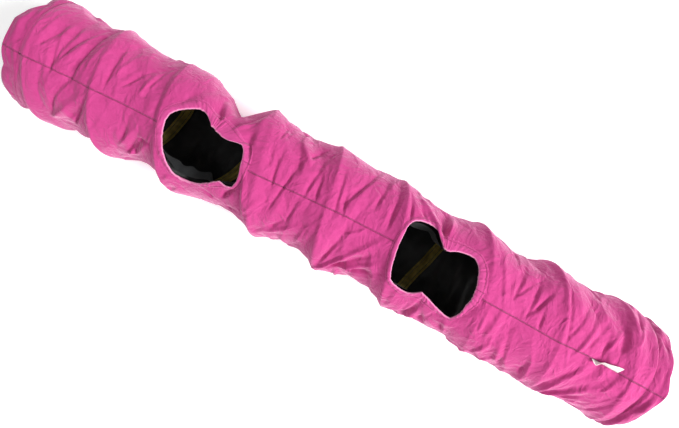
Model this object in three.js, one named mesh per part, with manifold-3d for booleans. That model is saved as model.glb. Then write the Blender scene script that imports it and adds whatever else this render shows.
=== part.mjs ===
// Collapsible agility tunnel for small pets. A fabric tube is held open by a spring wire sewn to its
// lining in eight turns, with a hoop in the hem of each mouth and two round windows in its top.
// Millimetres, +X along the tunnel, +Z up, origin on the floor under the middle of the tunnel.

import * as THREE from "three";
import { mergeVertices } from "three/addons/utils/BufferGeometryUtils.js";
import Module from "manifold-3d";

const wasm = await Module();
wasm.setup();

// ---- Driving dimensions ----

const LENGTH = 1440; // hem edge to hem edge
const RADIUS = 130; // outside of the cover
const SAG = 3.5; // how much the underside is flattened where the tunnel lies on the floor
const CUFF_WIDTH = 32; // from the hem edge to the seam of each end cuff
const WIRE_RADIUS = 1.4;
const FIRST_TURN_X = -672; // where the spring first crosses the top
const TURN_PITCHES = [144, 143, 216, 148, 153, 198, 163, 157]; // wider where a window lies between turns

const COVER_THICKNESS = 1.2;
const LINING_THICKNESS = 0.8;
const TAPE_THICKNESS = 0.8;
const TAPE_WIDTH = 25; // measured along the tunnel
const GAP = 0.3; // left between layers that lie on each other, and between neighbours along the tunnel

const WINDOW_XS = [-283, 228]; // middle of each window
const WINDOW_HALF_LENGTH = 85;
const WINDOW_HALF_WIDTH = 78; // seen from above
const BINDING_WIDTH = 9;
const BINDING_PROUD = 0.6; // how far the binding stands out of the cover

const FERRULE_LENGTH = 24;
const FERRULE_HEIGHT = 4.8;
const BARREL_SPACING = 4.2; // between the two wires that a ferrule holds
const BUTT_GAP = 1; // between two wire ends that meet

const LABEL = { start: 565, length: 58, seamY: -11, width: 18, thickness: 0.8, wave: 1.2, lean: 55 };

// ---- Derived places ----

const END_X = LENGTH / 2;
const SEAM_X = END_X - CUFF_WIDTH;
const HOOP_X = END_X - 5;
const CENTRE_Z = RADIUS - SAG;
const TURN_XS = TURN_PITCHES.reduce((xs, pitch) => [...xs, xs.at(-1) + pitch], [FIRST_TURN_X]);
const TURNS = TURN_PITCHES.length;
const BAY_XS = [-SEAM_X, ...TURN_XS.slice(1, -1), SEAM_X]; // the fabric's bays end at the turns

// Each layer's distance in from the cover's outer face.
const LINING_INSET = COVER_THICKNESS + GAP;
const WIRE_INSET = LINING_INSET + LINING_THICKNESS + GAP + WIRE_RADIUS;
const TAPE_INSET = WIRE_INSET + WIRE_RADIUS + GAP;
const FACING_INSET = WIRE_INSET + FERRULE_HEIGHT / 2 + 0.5; // the cuff's inner wall clears the ferrule

// ---- Materials ----

const fabric = (color, roughness) => new THREE.MeshStandardMaterial({ color, roughness, metalness: 0 });
const MATERIALS = {
  suede: fabric("#db4f96", 0.9),
  lining: fabric("#141617", 0.55),
  webbing: fabric("#5f5420", 0.85),
  label: fabric("#f2ece6", 0.8),
  steel: new THREE.MeshStandardMaterial({ color: "#9aa0a4", roughness: 0.35, metalness: 1 }),
};

// ---- The tunnel's cross-section ----
// A place round the tunnel is a share of a turn: 0 at the top, 0.25 at -Y, 0.5 at the bottom.

const FACETS_A_SIDE = 11;
const FLAT_SHARE = Math.acos(CENTRE_Z / RADIUS) / (2 * Math.PI); // half of the flat underside
const SIDE = Array.from({ length: FACETS_A_SIDE + 1 }, (_, i) => (i * (0.5 - FLAT_SHARE)) / FACETS_A_SIDE);
const CORNERS = [...SIDE, ...SIDE.map((share) => 1 - share).reverse()];

function cornerPoint(share, inset) {
  const angle = 2 * Math.PI * share;
  return new THREE.Vector2(-Math.sin(angle), Math.cos(angle)).multiplyScalar(RADIUS - inset);
}

// The point (y, z above the centre) on the faceted outline, `turn` turns round from the top.
function outlinePoint(turn, inset) {
  const share = turn - Math.floor(turn);
  const next = CORNERS.findIndex((corner) => corner > share);
  const [from, to] = [CORNERS[next - 1], CORNERS[next]];
  return cornerPoint(from, inset).lerp(cornerPoint(to, inset), (share - from) / (to - from));
}

const outline = (inset) => CORNERS.slice(0, -1).map((share) => cornerPoint(share, inset));

// ---- Solids ----

function solidOf(geometry) {
  const bare = geometry.index ? geometry.toNonIndexed() : geometry.clone();
  bare.deleteAttribute("normal");
  bare.deleteAttribute("uv");
  const merged = mergeVertices(bare, 1e-3);
  const vertProperties = merged.attributes.position.array;
  return new wasm.Manifold(new wasm.Mesh({ numProp: 3, vertProperties, triVerts: merged.index.array }));
}

function geometryOf(solid) {
  const mesh = solid.getMesh();
  const geometry = new THREE.BufferGeometry();
  geometry.setAttribute("position", new THREE.BufferAttribute(mesh.vertProperties, 3));
  geometry.setIndex(new THREE.BufferAttribute(mesh.triVerts, 1));
  return geometry;
}

// A shape drawn in (y, z), drawn out along +X from x0 to x1.
function alongX(shape, x0, x1) {
  const geometry = new THREE.ExtrudeGeometry(shape, { depth: x1 - x0, bevelEnabled: false });
  const [x, y, z] = [new THREE.Vector3(1, 0, 0), new THREE.Vector3(0, 1, 0), new THREE.Vector3(0, 0, 1)];
  return geometry.applyMatrix4(new THREE.Matrix4().makeBasis(y, z, x)).translate(x0, 0, CENTRE_Z);
}

// A length of tube with the tunnel's section, between two insets.
function tube(outerInset, innerInset, x0, x1) {
  const shape = new THREE.Shape(outline(outerInset));
  shape.holes.push(new THREE.Path(outline(innerInset)));
  return alongX(shape, x0, x1);
}

// An upright elliptical plug through the top of the tunnel, `margin` larger than the window.
function windowPlug(windowX, margin) {
  const shape = new THREE.Shape();
  shape.absellipse(windowX, 0, WINDOW_HALF_LENGTH + margin, WINDOW_HALF_WIDTH + margin, 0, 2 * Math.PI);
  const depth = RADIUS + 2 * SAG;
  const plug = new THREE.ExtrudeGeometry(shape, { depth, bevelEnabled: false, curveSegments: 16 });
  return solidOf(plug.translate(0, 0, CENTRE_Z));
}

// ---- Paths round the tunnel ----

// A path over the outline's corners, whose cross-sections stand in radial planes, so that a flat tape
// lies flat on the lining and its ends are square to the tunnel.
class RadialPath extends THREE.Curve {
  constructor(points) {
    super();
    this.points = points;
  }

  getPoint(t, target = new THREE.Vector3()) {
    return target.copy(this.points[Math.round(t * (this.points.length - 1))]);
  }

  getSpacedPoints(divisions) {
    return this.getPoints(divisions);
  }

  computeFrenetFrames() {
    const normals = this.points.map((p) => new THREE.Vector3(0, p.y, p.z - CENTRE_Z).normalize());
    const binormals = normals.map(() => new THREE.Vector3(-1, 0, 0));
    const tangents = normals.map((normal, i) => normal.clone().cross(binormals[i]));
    return { tangents, normals, binormals };
  }
}

// A section swept from one place round the tunnel to another; xAt gives its place along the tunnel.
function swept(section, inset, fromTurn, toTurn, xAt) {
  const trim = BUTT_GAP / 2 / (2 * Math.PI * RADIUS);
  const corners = [];
  for (let turn = Math.floor(fromTurn); turn <= Math.ceil(toTurn); turn += 1)
    for (const corner of CORNERS.slice(0, -1)) corners.push(turn + corner);
  const inside = corners.filter((turn) => turn > fromTurn + 2 * trim && turn < toTurn - 2 * trim);
  const points = [fromTurn + trim, ...inside, toTurn - trim].map((turn) => {
    const { x: y, y: z } = outlinePoint(turn, inset);
    return new THREE.Vector3(xAt(turn), y, z + CENTRE_Z);
  });
  const extrudePath = new RadialPath(points);
  return new THREE.ExtrudeGeometry(section, { steps: points.length - 1, extrudePath });
}

const WIRE_ROUND = new THREE.Shape().absarc(0, 0, WIRE_RADIUS, 0, 2 * Math.PI);
const WIRE_SECTION = new THREE.Shape(WIRE_ROUND.getPoints(3).slice(0, 6)); // six-sided
const TAPE_SECTION = new THREE.Shape([
  new THREE.Vector2(-TAPE_THICKNESS / 2, -TAPE_WIDTH / 2),
  new THREE.Vector2(TAPE_THICKNESS / 2, -TAPE_WIDTH / 2),
  new THREE.Vector2(TAPE_THICKNESS / 2, TAPE_WIDTH / 2),
  new THREE.Vector2(-TAPE_THICKNESS / 2, TAPE_WIDTH / 2),
]);

function springX(turn) {
  const whole = THREE.MathUtils.clamp(Math.floor(turn), 0, TURNS - 1);
  return THREE.MathUtils.lerp(TURN_XS[whole], TURN_XS[whole + 1], turn - whole);
}

// ---- The pieces ----

const tunnel = new THREE.Group();

function add(name, geometry, material) {
  const mesh = new THREE.Mesh(geometry, material);
  mesh.name = name;
  tunnel.add(mesh);
}

// Both fabric layers, the spring and its tape, turn by turn.
function addBay(number) {
  const x0 = BAY_XS[number - 1] + GAP / 2;
  const x1 = BAY_XS[number] - GAP / 2;
  const windowX = WINDOW_XS.find((x) => x > x0 && x < x1);
  const layer = (inset, thickness) => {
    const plain = tube(inset, inset + thickness, x0, x1);
    if (windowX === undefined) return plain;
    return geometryOf(solidOf(plain).subtract(windowPlug(windowX, BINDING_WIDTH + GAP)));
  };
  add(`cover_bay_${number}`, layer(0, COVER_THICKNESS), MATERIALS.suede);
  add(`lining_bay_${number}`, layer(LINING_INSET, LINING_THICKNESS), MATERIALS.lining);

  const [wire, tape] = [WIRE_SECTION, TAPE_SECTION];
  add(`spring_turn_${number}`, swept(wire, WIRE_INSET, number - 1, number, springX), MATERIALS.steel);
  const tapeInset = TAPE_INSET + TAPE_THICKNESS / 2;
  const tapeEnd = number === TURNS ? TURNS + 0.15 : number; // the last turn's tape runs on to the cuff
  add(`spring_tape_${number}`, swept(tape, tapeInset, number - 1, tapeEnd, springX), MATERIALS.webbing);
}

// The band that binds the raw edges of cover and lining round a window.
function addWindowBinding(number) {
  const windowX = WINDOW_XS[number - 1];
  const reach = WINDOW_HALF_LENGTH + 2 * BINDING_WIDTH;
  const backInset = LINING_INSET + LINING_THICKNESS;
  const skin = solidOf(tube(-BINDING_PROUD, backInset, windowX - reach, windowX + reach));
  const ring = windowPlug(windowX, BINDING_WIDTH).subtract(windowPlug(windowX, 0));
  add(`window_binding_${number}`, geometryOf(skin.intersect(ring)), MATERIALS.suede);
}

// The cuff is the cover turned in round the hoop: an outer wall, the hem edge and an inner facing.
function addCuff(side, name) {
  const [edge, seam] = [side * END_X, side * SEAM_X];
  const hem = edge - side * COVER_THICKNESS;
  const past = seam - side * COVER_THICKNESS;
  const between = (outer, inner, a, b) => solidOf(tube(outer, inner, Math.min(a, b), Math.max(a, b)));
  const whole = between(0, FACING_INSET + COVER_THICKNESS, edge, seam);
  const channel = between(COVER_THICKNESS, FACING_INSET, hem, past);
  add(`${name}_cuff`, geometryOf(whole.subtract(channel)), MATERIALS.suede);
}

function addHoop(side, name) {
  add(`${name}_hoop`, swept(WIRE_SECTION, WIRE_INSET, -0.5, 0.5, () => side * HOOP_X), MATERIALS.steel);
}

// The end of the spring leaves the ferrule beside the hoop and climbs to, or comes down from, the top.
function addSpringLead(side, name) {
  const top = side < 0 ? 0 : TURNS;
  const bottom = top + side * 0.5;
  const overlap = (side * FERRULE_LENGTH) / 2.4 / (2 * Math.PI * RADIUS);
  const ferruleX = side * (HOOP_X - BARREL_SPACING);
  const xAt = (turn) => {
    const climbed = THREE.MathUtils.clamp(Math.abs(turn - bottom) / (0.5 - FLAT_SHARE) - FLAT_SHARE, 0, 1);
    return Math.abs(turn - top) > 0.5 - FLAT_SHARE - 1e-6
      ? ferruleX
      : THREE.MathUtils.lerp(ferruleX, springX(top), climbed);
  };
  const [from, to] = side < 0 ? [bottom + overlap, top] : [top, bottom + overlap];
  add(`${name}_spring_lead`, swept(WIRE_SECTION, WIRE_INSET, from, to, xAt), MATERIALS.steel);
}

// A double-barrelled ferrule, crimped round the two ends of the hoop and the end of the spring.
function addFerrule(side, name) {
  const half = BARREL_SPACING / 2;
  const shape = new THREE.Shape();
  shape.absarc(half, 0, FERRULE_HEIGHT / 2, -Math.PI / 2, Math.PI / 2);
  shape.absarc(-half, 0, FERRULE_HEIGHT / 2, Math.PI / 2, (3 * Math.PI) / 2);
  for (const x of [-half, half]) {
    const barrel = new THREE.Path();
    barrel.absarc(x, 0, WIRE_RADIUS + GAP, 0, 2 * Math.PI);
    shape.holes.push(barrel);
  }
  const options = { depth: FERRULE_LENGTH, bevelEnabled: false, curveSegments: 6 };
  const geometry = new THREE.ExtrudeGeometry(shape, options).translate(0, 0, -FERRULE_LENGTH / 2);
  const wireZ = CENTRE_Z + outlinePoint(0.5, WIRE_INSET).y;
  geometry.rotateX(Math.PI / 2).translate(side * (HOOP_X - half), 0, wireZ);
  add(`${name}_ferrule`, geometry, MATERIALS.steel);
}

// A small woven label, caught in the top seam by one long edge and leaning over towards +Y.
function addLabel() {
  const edge = (share, face) => {
    const wave = LABEL.wave * Math.sin(2 * Math.PI * share);
    return new THREE.Vector2(share * LABEL.length, wave + (face * LABEL.thickness) / 2);
  };
  const shares = Array.from({ length: 7 }, (_, i) => i / 6);
  const near = shares.map((share) => edge(share, -1));
  const far = shares.map((share) => edge(share, 1)).reverse();
  const geometry = new THREE.ExtrudeGeometry(new THREE.Shape([...near, ...far]), {
    depth: LABEL.width,
    bevelEnabled: false,
  });
  const lift = LABEL.wave + LABEL.thickness + GAP;
  const seamZ = CENTRE_Z + outlinePoint(0, 0).y - 1 + lift;
  geometry.rotateX(-THREE.MathUtils.degToRad(LABEL.lean)).translate(LABEL.start, LABEL.seamY, seamZ);
  add("label", geometry, MATERIALS.label);
}

for (let number = 1; number <= TURNS; number += 1) addBay(number);
WINDOW_XS.forEach((_, i) => addWindowBinding(i + 1));
for (const [side, name] of [[-1, "left"], [1, "right"]]) {
  addCuff(side, name);
  addHoop(side, name);
  addSpringLead(side, name);
  addFerrule(side, name);
}
addLabel();

export default tunnel;
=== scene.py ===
import math

import bpy
import numpy as np
from mathutils import Matrix, Vector


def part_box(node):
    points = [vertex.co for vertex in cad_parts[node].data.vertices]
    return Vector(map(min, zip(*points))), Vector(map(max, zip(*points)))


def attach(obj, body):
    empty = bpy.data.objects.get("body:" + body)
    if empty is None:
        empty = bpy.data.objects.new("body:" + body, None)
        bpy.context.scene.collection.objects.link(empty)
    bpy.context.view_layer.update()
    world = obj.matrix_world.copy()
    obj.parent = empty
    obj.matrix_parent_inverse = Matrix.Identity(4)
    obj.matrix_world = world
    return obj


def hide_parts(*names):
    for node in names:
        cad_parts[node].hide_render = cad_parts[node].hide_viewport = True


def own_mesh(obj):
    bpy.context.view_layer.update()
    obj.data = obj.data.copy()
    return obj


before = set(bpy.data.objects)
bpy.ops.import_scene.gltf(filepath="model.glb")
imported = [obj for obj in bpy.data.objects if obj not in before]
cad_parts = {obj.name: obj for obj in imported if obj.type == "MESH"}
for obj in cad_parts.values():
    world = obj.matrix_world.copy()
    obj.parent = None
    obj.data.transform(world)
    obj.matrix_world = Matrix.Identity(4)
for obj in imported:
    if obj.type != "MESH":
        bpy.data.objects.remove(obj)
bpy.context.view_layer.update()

TAU = 2 * math.pi

# ---- Dimensions, in metres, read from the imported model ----

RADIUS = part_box("cover_bay_4")[1].y
CENTRE_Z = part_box("cover_bay_4")[1].z - RADIUS
ROUND = TAU * RADIUS  # the way round the tunnel
SEAM_X, MOUTH_X = (corner.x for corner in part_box("right_cuff"))
ENDS = ((-1, "left"), (1, "right"))  # each end's side and name
BAYS = 8
WIRE_R = 0.0014  # half the spring wire's thickness
WIRE_PATH_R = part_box("spring_turn_4")[1].y - WIRE_R
TURN_X = [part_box(f"spring_turn_{n}")[0].x + WIRE_R for n in range(1, BAYS + 1)]
TURN_X.append(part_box(f"spring_turn_{BAYS}")[1].x - WIRE_R)
HOOP_X = (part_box("right_hoop")[0].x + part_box("right_hoop")[1].x) / 2
LEAD_X = HOOP_X - 0.0042  # the wire's ends lie just inside the hoops
WINDOWS = [(lo.x + hi.x) / 2 for lo, hi in map(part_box, ("window_binding_1", "window_binding_2"))]

# ---- The tunnel's surface, laid out flat ----
# s is the distance along the tunnel and v the share of a turn round it from the top: 0.25 is at -Y.

ROWS = 164
ROW_SQUEEZE = 0.45  # how much closer the rows are along the top, where the folds are finest
COVER_COLUMNS = 600
CUFF_COLUMNS = 10

# The spring runs half a turn past its first and last full turns.
FIRST_TURN, LAST_TURN = -0.5, BAYS + 0.5
SPRING_TURNS = np.concatenate([[FIRST_TURN], np.arange(BAYS + 1), [LAST_TURN]])
SPRING_PLACES = np.concatenate([[-LEAD_X], TURN_X, [LEAD_X]])

# How much further along the tunnel the wire lies under it than it would in an even spiral, in mm.
LEAN_X = [-0.60, -0.45, -0.27, -0.08, 0.10, 0.23, 0.40]
LEAN = [0, 27, 32, 8, 0, 9, 0]


def lean(x, v):
    """That lean at a place, most at the underside and none at the top."""
    return np.interp(x, LEAN_X, LEAN) / 1000 * np.sin(np.pi * v) ** 4


def spring_x(turn):
    """Where the spring wire is along the tunnel, turn turns after it first crosses the top."""
    x = np.interp(turn, SPRING_TURNS, SPRING_PLACES)
    return x + lean(x, turn)


def round_point(x, v, r):
    """A point at that distance along the tunnel, share of a turn and radius."""
    a = TAU * np.asarray(v)
    x, r = np.broadcast_arrays(x, r)
    return np.stack([x + 0 * a, -r * np.sin(a), CENTRE_Z + r * np.cos(a)], axis=-1)


def bay_place(x, v):
    """The turn of the wire before a point, the share of the way to the next, and the way between them."""
    v = np.mod(v, 1.0)
    even_x = x
    for _ in range(3):
        even_x = x - lean(even_x, v)
    turn = np.floor(np.interp(even_x, SPRING_PLACES, SPRING_TURNS) - v) + v
    before = np.where(turn < FIRST_TURN, -HOOP_X, spring_x(turn))
    after = np.where(turn + 1 > LAST_TURN, HOOP_X, spring_x(turn + 1))
    span = np.maximum(after - before, 0.001)
    return turn, np.clip((x - before) / span, 0, 1), span


# At these degrees from the top towards +Y, by end and in mm: how much narrower than the tunnel the mouths
# hang, how far their edges are drawn in along it, and how much nearer the middle the cuffs' seams run.
END_DEGREES = [-180, -110, -75, -45, -22, 0, 14, 28, 43, 70, 110, 180]
END_NARROW = {-1: [0, 6, 11, 14, 12, 7, 3, 9, 15, 15, 7, 0], 1: [0, 7, 13, 16, 9, 4, 5, 9, 12, 14, 7, 0]}
END_DRAWN_IN = {-1: [0, 3, 6, 8, 6, 3, 0, 3, 10, 8, 3, 0], 1: [0, 3, 6, 6, 3, 0, 2, 3, 2, 6, 3, 0]}
SEAM_SHIFT = {-1: [0, 3, 6, 8, 7, 4, 3, 2, 1, 0, 0, 0], 1: [0, 1, 1, 0, -1, 1, 2, 3, 4, 5, 3, 0]}
END_START = 0.085  # how far from the mouth the narrowing starts
SHIFT_START = 0.07  # how far from the seam the cloth is drawn along with it


def by_angle(v, table):
    """A table's values for the left and right ends, in metres, at a share of a turn."""
    degrees = -360 * (v - np.round(v))
    return [np.interp(degrees, END_DEGREES, table[side]) / 1000 for side in (-1, 1)]


def narrowing(x, v, table=END_NARROW):
    """How much narrower the tunnel is near a mouth or, by the other table, how far its edge is drawn in."""
    left, right = by_angle(v, table)
    share = np.clip((np.abs(x) - MOUTH_X + END_START) / END_START, 0, 1) ** 1.4
    return share * np.where(x < 0, left, right)


def seam_shift(s, v):
    """How far the cloth near a cuff's seam lies from its flat place, along the tunnel."""
    left, right = by_angle(v, SEAM_SHIFT)
    share = np.clip((np.abs(s) - SEAM_X + SHIFT_START) / SHIFT_START, 0, 1)
    return share * np.where(s < 0, left, -right)


def gap(a, b):
    """The distances between two arrays of points."""
    return np.linalg.norm(b - a, axis=-1, keepdims=True)


def unit(vectors):
    """Vectors brought to a length of one."""
    return vectors / (np.linalg.norm(vectors, axis=-1, keepdims=True) + 1e-12)


def waves(x, y, seed, scale, octaves):
    """Smooth repeatable noise from about -1 to 1; y is a share of a turn, so it closes on itself."""
    rng = np.random.RandomState(seed)
    total = weight = 0.0
    for octave in range(octaves):
        gain = 0.55**octave
        for _ in range(6):
            k = 2**octave
            fx = rng.uniform(-1.2, 1.2) * k / scale
            fy = rng.randint(1, 4) * k * rng.choice([-1, 1])
            total += gain * np.sin(TAU * (fx * x + fy * y) + rng.uniform(0, TAU))
        weight += gain
    return total / (weight * 2.4)


# ---- Windows ----
# Each opening's outline as it hangs, measured over the tunnel's round surface from the middle of the window:
# (angle in degrees from +X towards +Y, distance in mm).

WINDOW_CUT_R = 0.089  # the radius of the round cut in the cloth
WARP_REACH = 0.055  # how far past the cut the cloth is pulled along with it
OUTLINES = [
    [(4, 77), (16, 74), (24, 69), (28, 56), (31, 44), (38, 36), (49, 30), (78, 27), (104, 32), (113, 46),
     (122, 61), (134, 69), (149, 74), (164, 83), (173, 88), (187, 88), (201, 87), (214, 90), (228, 96),
     (243, 107), (251, 114), (260, 116), (269, 114), (277, 108), (286, 98), (298, 89), (309, 86),
     (314, 98), (321, 105), (335, 96), (351, 82)],
    [(17, 75), (36, 78), (48, 77), (58, 68), (73, 55), (87, 44), (98, 42), (107, 46), (114, 64), (117, 84),
     (123, 94), (132, 102), (143, 109), (153, 107), (165, 99), (181, 94), (195, 93), (209, 96), (224, 101),
     (235, 95), (246, 89), (254, 79), (263, 63), (279, 70), (292, 85), (302, 104), (308, 113), (316, 105),
     (333, 88), (355, 79)],
]


def outline_radius(number, angle):
    """An opening's radius as it hangs, with its corners rounded."""
    angles = np.radians([a for a, _ in OUTLINES[number]])
    radii = np.array([r for _, r in OUTLINES[number]]) / 1000
    raw = np.interp(np.linspace(0, TAU, 721), angles, radii, period=TAU)
    kernel = np.hanning(11)
    smooth = np.convolve(np.tile(raw[:-1], 3), kernel / kernel.sum(), mode="same")[720:1441]
    return np.interp(np.mod(angle, TAU), np.linspace(0, TAU, 721), smooth)


def polar(number, s, v):
    """Distance and angle from the middle of a window, on the cloth laid flat."""
    v = v - np.round(v)
    dx, dy = s - WINDOWS[number], -v * ROUND
    return np.hypot(dx, dy), np.arctan2(dy, dx)


def from_window(number, d, angle):
    """The flat place at a distance and angle from the middle of a window: (s, v)."""
    return WINDOWS[number] + d * np.cos(angle), -d * np.sin(angle) / ROUND


def window_warp(s, v):
    """Moves the cloth round each window, so that the round cut takes the opening's hung shape."""
    for number in range(2):
        d, angle = polar(number, s, v)
        target = outline_radius(number, angle)
        fade = np.clip(1 - (d - WINDOW_CUT_R) / WARP_REACH, 0, 1) ** 2
        new = np.where(d < WINDOW_CUT_R, d * target / WINDOW_CUT_R, d + (target - WINDOW_CUT_R) * fade)
        near = d < WINDOW_CUT_R + WARP_REACH
        warped_s, warped_v = from_window(number, new, angle)
        s, v = np.where(near, warped_s, s), np.where(near, warped_v, v)
    return s, v


# ---- The cover, as cloth ----

# The columns of the cover's grid, with those of the cuffs at both ends.
fine_s = np.concatenate([
    np.linspace(-MOUTH_X, -SEAM_X, CUFF_COLUMNS + 1)[:-1],
    np.linspace(-SEAM_X, SEAM_X, COVER_COLUMNS + 1),
    np.linspace(SEAM_X, MOUTH_X, CUFF_COLUMNS + 1)[1:],
])


def seam_share(s):
    """Where the top seam runs, as a share of a turn: it wanders from side to side of the top."""
    places = [-0.72, -0.53, -0.37, -0.19, -0.08, 0.02, 0.13, 0.33, 0.48, 0.56, 0.72]
    y = [-0.030, -0.021, -0.014, -0.014, -0.006, 0.001, 0.004, -0.013, -0.014, -0.010, -0.012]
    return -np.interp(s, places, y) / ROUND


def row_share(row):
    """The share of a turn from the seam at a row."""
    return row / ROWS - ROW_SQUEEZE * np.sin(TAU * row / ROWS) / TAU


def row_at(j):
    """The row at a share of a turn from the seam."""
    rows = np.arange(ROWS + 1)
    return np.interp(np.mod(j, 1.0), row_share(rows), rows)


def grid(s):
    """(s, share of a turn from the seam) over the whole surface, with row 0 on the top seam."""
    return np.meshgrid(s, row_share(np.arange(ROWS)), indexing="ij")


def quads(nx, nv):
    """Faces between rings of points that each close on themselves."""
    i, j = np.meshgrid(np.arange(nx - 1) * nv, np.arange(nv), indexing="ij")
    j2 = (j + 1) % nv
    return np.stack([i + j, i + nv + j, i + nv + j2, i + j2], axis=-1).reshape(-1, 4)


def strip_quads(nx, ny):
    """Faces of an open grid of points."""
    i, j = np.meshgrid(np.arange(nx - 1) * ny, np.arange(ny - 1), indexing="ij")
    return np.stack([i + j, i + ny + j, i + ny + j + 1, i + j + 1], axis=-1).reshape(-1, 4)


def last_to_first(nx, nv):
    """Faces that close a grid's last ring onto its first."""
    last = (nx - 1) * nv
    return [[last + k, k, (k + 1) % nv, last + (k + 1) % nv] for k in range(nv)]


def make_mesh(name, points, faces, uv=None):
    """A smooth mesh from points and faces; uv is one pair for each point, in metres."""
    mesh = bpy.data.meshes.new(name)
    faces = [list(map(int, f)) for f in faces]
    mesh.from_pydata([tuple(map(float, p)) for p in np.asarray(points).reshape(-1, 3)], [], faces)
    mesh.validate()
    mesh.shade_smooth()
    if uv is not None:
        layer = mesh.uv_layers.new(name="flat")
        index = np.zeros(len(mesh.loops), dtype=np.int32)
        mesh.loops.foreach_get("vertex_index", index)
        layer.data.foreach_set("uv", np.asarray(uv, dtype=np.float32).reshape(-1, 2)[index].ravel())
    obj = bpy.data.objects.new(name, mesh)
    bpy.context.scene.collection.objects.link(obj)
    return obj


# How far the cover falls in between one turn of the spring and the next, in mm, at every quarter turn from a
# quarter turn before the first: at the back, top, front and bottom of the tunnel in turn.
DIPS = [15, 8, 19, 3, 12, 9, 28, 3, 4, 6, 24, 3, 15, 9, 23, 3, 8, 9, 26, 3, 18, 6, 12, 3,
        22, 8, 4, 3, 12, 9, 11, 3, 6, 4, 4, 3]
DIP_PER_SPAN, DIP_LOSS = 0.24, 0.009  # a short span between turns can't dip far
TAUT_X, TAUT = [-0.69, -0.65], [0.25, 1.0]  # the cover is drawn tight next to the left cuff
WIRE_SOFT = 0.005  # how round the ridge over the wire is
# The big hollow behind window 1, where the cover has slipped between two turns.
HOLLOW_X = [-0.365, -0.310, -0.266, -0.228, -0.212]
HOLLOW_DEPTH = [0.0, 0.024, 0.058, 0.032, 0.0]
HOLLOW_DEGREES, HOLLOW_SPREAD = 92, 45  # its middle, in degrees from the top towards +Y, and half its spread

# Folds of the cover: where each is deepest, as mm along the tunnel and degrees from the top towards +Y, where
# it fades out, its height, under 0 for a valley, its half width and, if it bows sideways, how far, all in mm.
FOLDS = [
    # left of window 1
    (-615, -10, -638, 28, -4.5, 6), (-615, -8, -612, 50, -4, 7), (-655, 2, -638, 25, -3.5, 6),
    (-666, 14, -664, 52, -3, 5), (-608, 0, -580, 52, -4, 6), (-594, 6, -577, 44, 3, 8),
    (-579, -4, -578, 12, -3.5, 5), (-572, -8, -566, 58, -5, 8), (-600, -54, -572, -8, -5, 7, 5),
    (-600, -62, -534, -16, 6, 12), (-549, -55, -527, -13, -7, 6, -4), (-556, -48, -538, -30, -6, 10),
    (-505, 0, -518, 52, -4, 6), (-496, 16, -488, 46, 3, 9), (-473, 9, -449, 34, -3.5, 5),
    (-432, 17, -427, 42, -4, 5), (-441, 10, -434, 42, 3, 8), (-443, -42, -439, -10, -4, 9),
    (-435, -66, -393, -36, 6, 8, 3), (-418, -56, -404, -32, -9, 11), (-413, -34, -376, -29, -4, 5),
    (-448, -52, -419, -20, 4, 8), (-432, -66, -413, -24, -5, 5), (-384, -6, -409, 44, -5, 12, 4),
    # round window 1
    (-279, 22, -306, 54, -9, 10, 5), (-213, -46, -190, -17, -8, 8), (-197, 4, -222, 44, -7, 9, 4),
    (-188, -12, -151, -60, 5, 7), (-248, 24, -208, 50, 5, 6), (-236, -56, -262, -50, -4, 8),
    (-200, -62, -176, -52, -4, 7), (-330, -52, -352, -70, 3, 9),
    # between the windows
    (-165, 38, -166, 58, -3.5, 5), (-102, 18, -137, 58, -5, 14), (-92, 29, -127, 48, 4, 10),
    (-133, -7, -147, 28, -4, 5, 2), (-154, 7, -166, 24, -3, 5), (-114, -12, -103, 30, -4, 5),
    (-118, -28, -114, -8, -3, 5), (-93, 34, -77, 58, -4.5, 6), (-69, 0, -65, 44, -4, 6),
    (-46, 2, -57, 24, -4, 5), (-4, 2, -21, 38, -4.5, 5), (13, 2, -3, 28, -4, 5), (-77, -34, -75, -4, -3.5, 5),
    (-102, -58, -54, -31, 5, 9), (-101, -50, -83, -32, -4.5, 6), (-44, -52, -36, -24, 3, 8),
    (17, -68, 97, -7, 8, 8), (17, -58, 34, -10, -7, 7), (40, -62, 102, -18, -7, 8), (64, -54, 118, -26, 7, 7),
    (76, -56, 114, -41, -6, 8), (39, -13, 63, -3, 3.5, 4), (12, 16, 42, 76, -5, 7, -4),
    (63, 22, 69, 64, -4, 6), (101, 14, 94, 84, -6, 9),
    # round window 2
    (204, 26, 145, 58, 7, 8), (208, 32, 205, 66, -14, 11), (214, 42, 213, 62, 5, 6),
    (133, 28, 115, 54, -5, 6), (157, 38, 138, 54, -4, 6), (224, -76, 229, -36, -11, 10),
    (214, -66, 222, -38, 4, 7), (263, -70, 240, -46, -5, 10), (300, -62, 284, -46, -4, 10),
    (280, -50, 312, -44, 3, 6), (352, -31, 342, -7, 4, 5), (363, 2, 325, 48, 3.5, 8),
    # right of window 2
    (380, 11, 387, 44, -4, 6), (381, 11, 421, 42, -3, 5), (417, 2, 423, 44, -3.5, 5),
    (418, 2, 453, 40, -3.5, 5, -3), (430, 8, 443, 28, -3.5, 5), (448, -4, 442, 16, -3.5, 5),
    (377, -64, 389, -40, 5, 6), (444, -66, 401, -16, -4, 8), (426, -62, 394, -18, 3, 8),
    (480, -58, 473, -38, -4, 5), (505, 0, 481, 40, -3, 6), (505, 1, 533, 44, -3, 6), (532, -7, 563, 42, 4, 9),
    (544, -2, 574, 34, -3, 7), (582, 2, 583, 24, -3.5, 4), (586, 10, 603, 32, 3, 5),
    (612, 0, 612, 66, -3.5, 12), (643, 44, 645, 68, -4, 5), (640, 28, 661, 66, 3, 6),
    (538, -74, 569, -12, 6, 7, 8), (528, -64, 558, -18, -4, 7, 8), (552, -74, 618, -23, 8, 10, 6),
    (560, -64, 606, -28, -5, 8, 4), (586, -68, 606, -40, -4, 8), (620, -28, 630, -12, 3.5, 4),
    (640, -62, 651, -33, -3, 8),
]


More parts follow.
